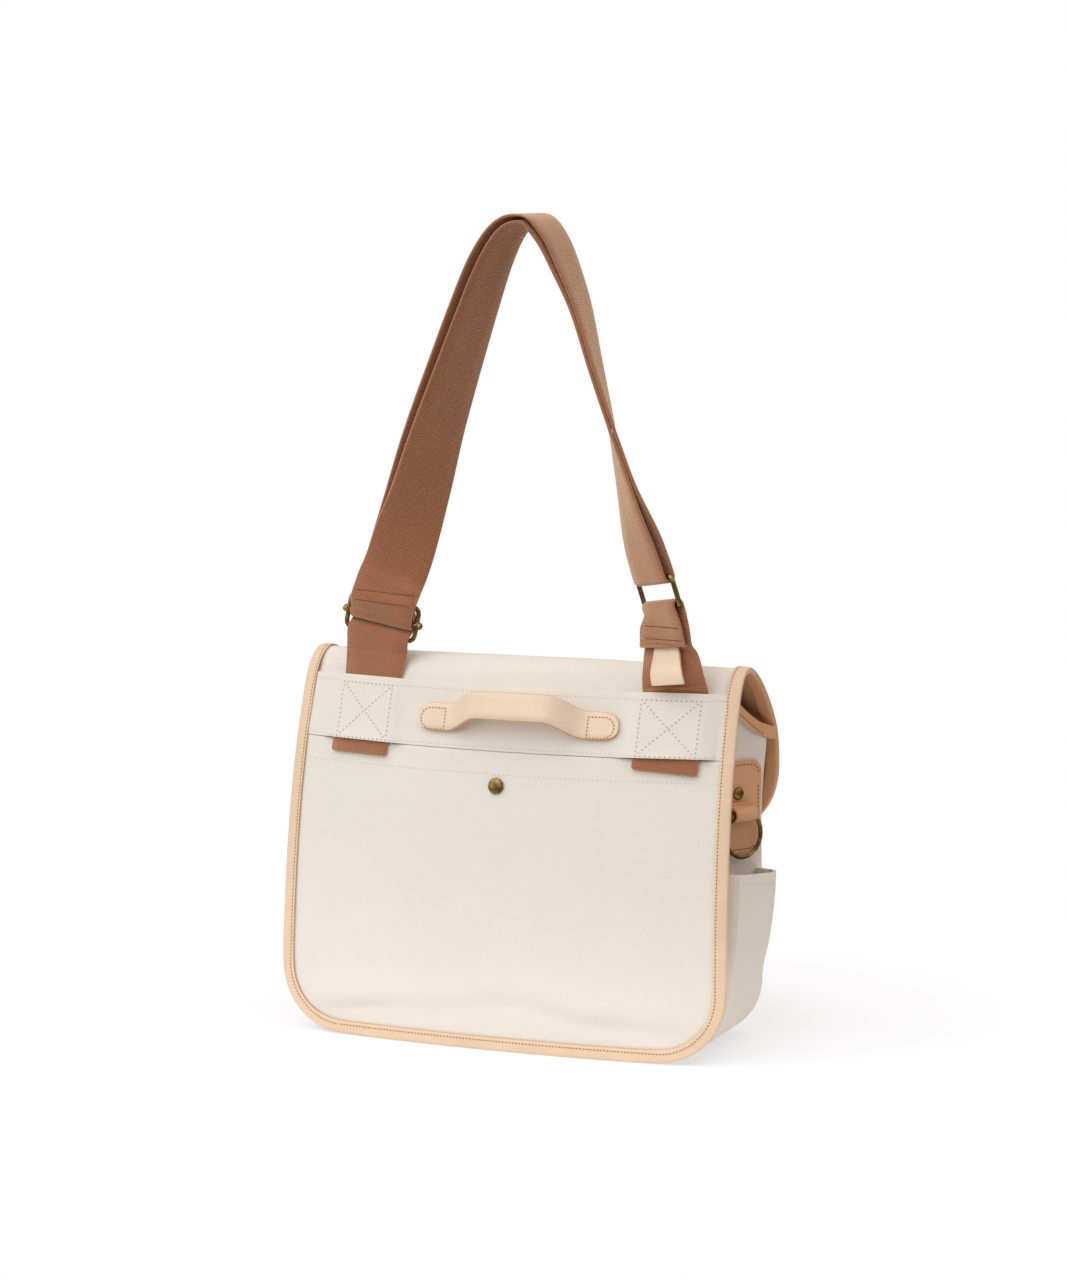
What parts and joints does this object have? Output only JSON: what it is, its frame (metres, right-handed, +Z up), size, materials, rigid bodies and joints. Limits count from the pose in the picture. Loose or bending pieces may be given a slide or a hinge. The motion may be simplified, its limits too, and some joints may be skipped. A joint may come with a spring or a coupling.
{
  "type": "shoulder bag",
  "caption": "Canvas flap shoulder bag with leather edge bindings, a slip pocket, a leather grab handle, side pockets with rings, and a doubled webbing strap on brass fittings.",
  "frame": {"origin": "middle of the bag's box in plan, on the surface that it stands on", "axes": "+Z up; +X to the right of someone facing the back with the slip pocket; +Y from that back through the bag to the flap"},
  "size_m": [0.363, 0.1552, 0.6133],
  "materials": {
    "canvas": "heavy plain-woven canvas, off-white, matt",
    "leather": "natural vegetable-tanned leather, smooth, low sheen",
    "webbing": "thick ribbed webbing, brown, matt",
    "brass": "antique brass, satin"
  },
  "bodies": {
    "bag": {"back_flap_sheet": "canvas", "edge_binding": "leather", "back_pocket": "canvas", "anchor_band": "canvas", "pocket_snap": "brass", "grab_handle": "leather", "gusset": "canvas", "front_panel": "canvas", "mouth_binding": "leather", "strap_webbing": "webbing", "strap_slider": "brass", "strap_ring": "brass", "right_anchor_webbing": "webbing", "pull_tab": "leather", "side_pocket_right": "canvas", "side_patch_right": "leather", "ring_keeper_right": "leather", "side_rivet_right": "brass", "side_pocket_left": "canvas", "side_patch_left": "leather", "ring_keeper_left": "leather", "side_rivet_left": "brass"},
    "ring_right": {"side_ring_right": "brass"},
    "ring_left": {"side_ring_left": "brass"}
  },
  "joints": [
    {"name": "ring_right_swing", "type": "hinge", "parent": "bag", "child": "ring_right", "pos_m": [0.15904, 0.02671, 0.17037], "axis": [-0.516, -0.8566, 0], "range_deg": [0, 80]},
    {"name": "ring_left_swing", "type": "hinge", "parent": "bag", "child": "ring_left", "pos_m": [-0.15904, 0.02671, 0.17037], "axis": [-0.516, 0.8566, 0], "range_deg": [0, 80]}
  ]
}
